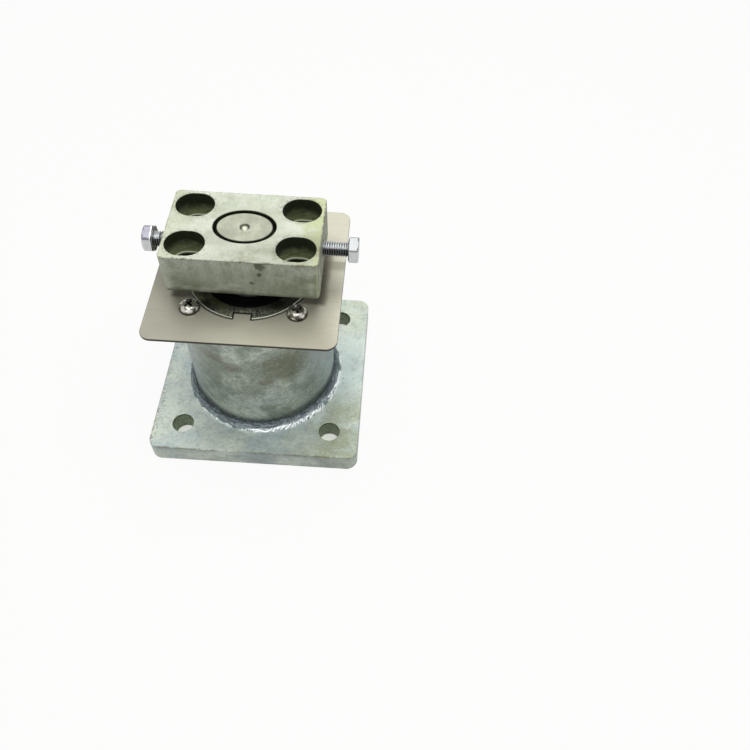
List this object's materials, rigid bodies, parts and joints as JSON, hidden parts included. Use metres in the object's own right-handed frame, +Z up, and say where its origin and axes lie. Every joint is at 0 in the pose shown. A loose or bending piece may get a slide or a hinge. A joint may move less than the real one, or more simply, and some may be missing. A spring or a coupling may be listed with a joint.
{
  "type": "pivot hinge",
  "caption": "Floor pivot hinge: a slotted door block on an oval spindle that turns in bearings inside a tube welded to a square floor plate, with a square cover plate.",
  "frame": {"origin": "centre of the floor plate's underside", "axes": "+Z up along the spindle; X along the door block, towards the longer-standing adjusting bolt"},
  "size_m": [0.125, 0.125, 0.1355],
  "materials": {
    "base_steel": "pale bluish zinc plate over hot rolled steel, with light scuffs",
    "tube_steel": "mottled grey-green zinc plate over drawn tube, with brown stains",
    "weld_metal": "bright rippled weld bead under zinc plate",
    "bearing_steel": "ground bearing steel, lightly oiled",
    "rolling_steel": "polished bearing steel",
    "cage_steel": "pressed sheet steel",
    "cage_brass": "machined brass",
    "spacer_steel": "plain turned steel",
    "spindle_steel": "turned steel, dull zinc plate on its end",
    "spring_steel": "dark phosphated spring steel",
    "spring_wire": "coiled spring wire",
    "nut_steel": "turned steel with thin zinc plate",
    "seal_rubber": "black nitrile rubber",
    "cover_steel": "fine brushed stainless sheet, warm grey",
    "screw_steel": "bright plated steel",
    "block_steel": "zinc plate with a faint yellow-green tint, over a milled and tumbled block",
    "bolt_steel": "bright zinc plated bolt steel"
  },
  "bodies": {
    "base": {"base_plate": "base_steel", "housing_tube": "tube_steel", "weld_bead": "weld_metal", "lower_cup": "bearing_steel", "spacer_sleeve": "spacer_steel", "upper_outer_ring": "bearing_steel", "ring_nut": "nut_steel", "oil_seal": "seal_rubber", "seal_spring": "spring_wire", "cover_plate": "cover_steel", "cover_screw_front_left": "screw_steel", "cover_screw_front_right": "screw_steel", "cover_screw_back_left": "screw_steel", "cover_screw_back_right": "screw_steel"},
    "turning_spindle": {"spindle": "spindle_steel", "circlip": "spring_steel", "lower_cone": "bearing_steel", "upper_inner_ring": "bearing_steel"},
    "lower_roller_set": {"lower_rollers": "rolling_steel", "lower_cage": "cage_steel"},
    "upper_ball_set": {"upper_balls": "rolling_steel", "upper_cage": "cage_brass"},
    "block": {"door_block": "block_steel"},
    "left_bolt": {"left_adjuster": "bolt_steel"},
    "right_bolt": {"right_adjuster": "bolt_steel"}
  },
  "joints": [
    {"name": "door_turn", "type": "hinge", "parent": "base", "child": "turning_spindle", "pos_m": [0, 0, 0.056], "axis": [0, 0, 1], "continuous": true},
    {"name": "lower_rollers_turn", "type": "hinge", "parent": "base", "child": "lower_roller_set", "pos_m": [0, 0, 0.027], "axis": [0, 0, 1], "continuous": true},
    {"name": "upper_balls_turn", "type": "hinge", "parent": "base", "child": "upper_ball_set", "pos_m": [0, 0, 0.083], "axis": [0, 0, 1], "continuous": true},
    {"name": "block_shift", "type": "slide", "parent": "turning_spindle", "child": "block", "axis": [1, 0, 0], "range_m": [-0.0012, 0.0012]},
    {"name": "left_bolt_travel", "type": "slide", "parent": "block", "child": "left_bolt", "axis": [-1, 0, 0], "range_m": [-0.0023, 0.006]},
    {"name": "right_bolt_travel", "type": "slide", "parent": "block", "child": "right_bolt", "axis": [1, 0, 0], "range_m": [-0.007, 0.003]}
  ],
  "couplings": [
    {"joint": "lower_rollers_turn", "follows": "door_turn", "ratio": 0.44},
    {"joint": "upper_balls_turn", "follows": "door_turn", "ratio": 0.4175}
  ]
}
